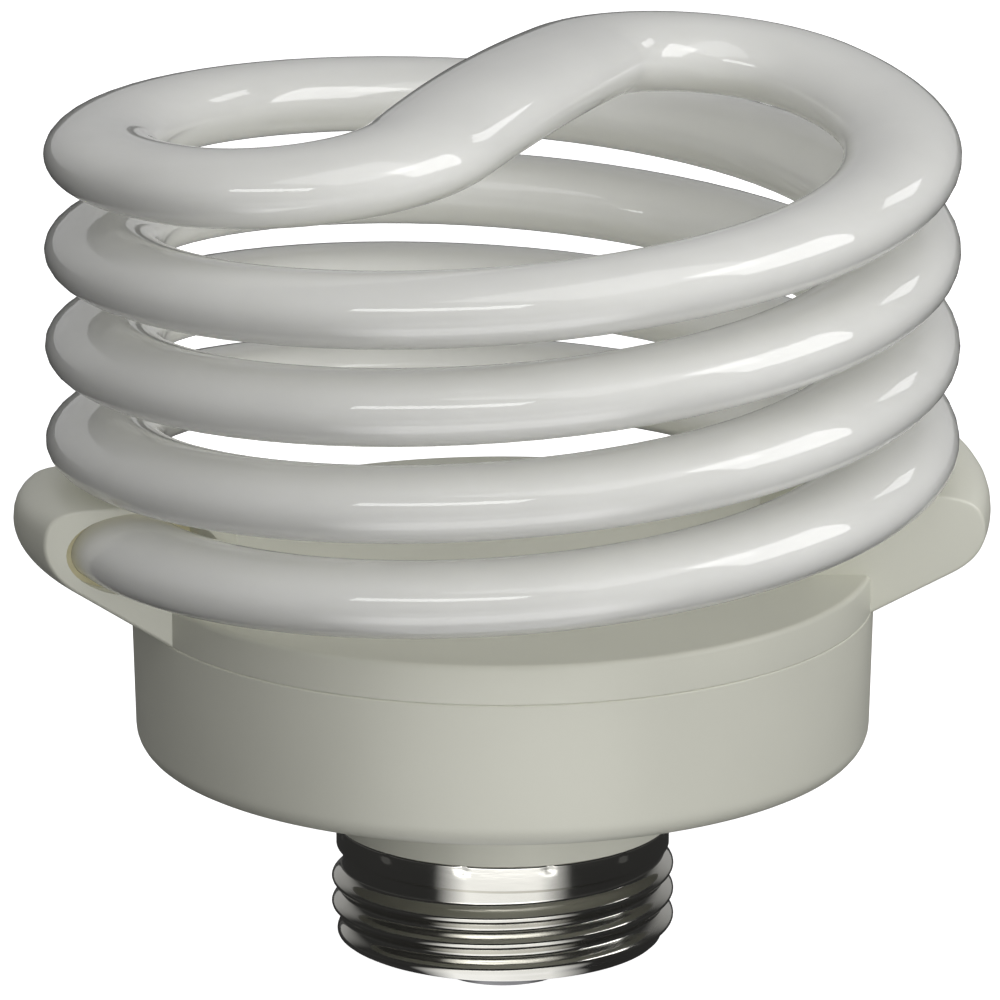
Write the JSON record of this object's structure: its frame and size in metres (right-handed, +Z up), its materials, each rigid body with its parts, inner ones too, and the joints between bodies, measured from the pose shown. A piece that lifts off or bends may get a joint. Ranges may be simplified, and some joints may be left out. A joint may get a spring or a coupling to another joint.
{
  "type": "spiral_energy_saving_bulb",
  "caption": "Spiral energy saving bulb: a white coiled glass tube with a crossover on top, an ivory plastic ballast housing with two sockets, and a metal screw base.",
  "frame": {"origin": "The middle of the centre contact's lower face, the lowest point of the lamp, on the axis of the screw base.", "axes": "+Z runs up the lamp's axis towards the spiral; +X points from the axis to the socket whose mouth opens towards +Y; the camera in the picture looks along +Y."},
  "size_m": [0.0746, 0.0696, 0.0723],
  "materials": {
    "lamp_glass": "opal white, glossy",
    "ivory_plastic": "fine matt",
    "tube_cement": "matt",
    "shell_metal": "nickel plated",
    "insulator": "matt",
    "contact_metal": "dull tin",
    "board": "paper laminate",
    "ferrite": "matt",
    "black_plastic": "matt",
    "copper_wire": "enamelled wire",
    "film_capacitor": "dipped",
    "lead_insulation": "sleeve"
  },
  "bodies": {
    "root": {"spiral_tube": "lamp_glass", "tube_cover": "ivory_plastic", "right_tube_cement": "tube_cement", "left_tube_cement": "tube_cement", "ballast_housing": "ivory_plastic", "screw_shell": "shell_metal", "base_insulator": "insulator", "centre_contact": "contact_metal", "circuit_board": "board", "choke_core": "ferrite", "choke_bobbin": "black_plastic", "choke_winding": "copper_wire", "input_capacitor": "black_plastic", "filter_choke_core": "ferrite", "filter_choke_winding": "copper_wire", "drive_toroid": "ferrite", "toroid_windings": "copper_wire", "blocking_capacitor": "film_capacitor", "resonance_capacitor": "film_capacitor", "upper_transistor": "black_plastic", "lower_transistor": "black_plastic", "rectifier_diodes": "black_plastic", "trigger_diode": "film_capacitor", "fuse_resistor": "film_capacitor", "drive_resistors": "film_capacitor", "wire_posts": "contact_metal", "tube_lead_wires": "contact_metal", "live_lead": "black_plastic", "neutral_lead": "lead_insulation"}
  },
  "joints": []
}
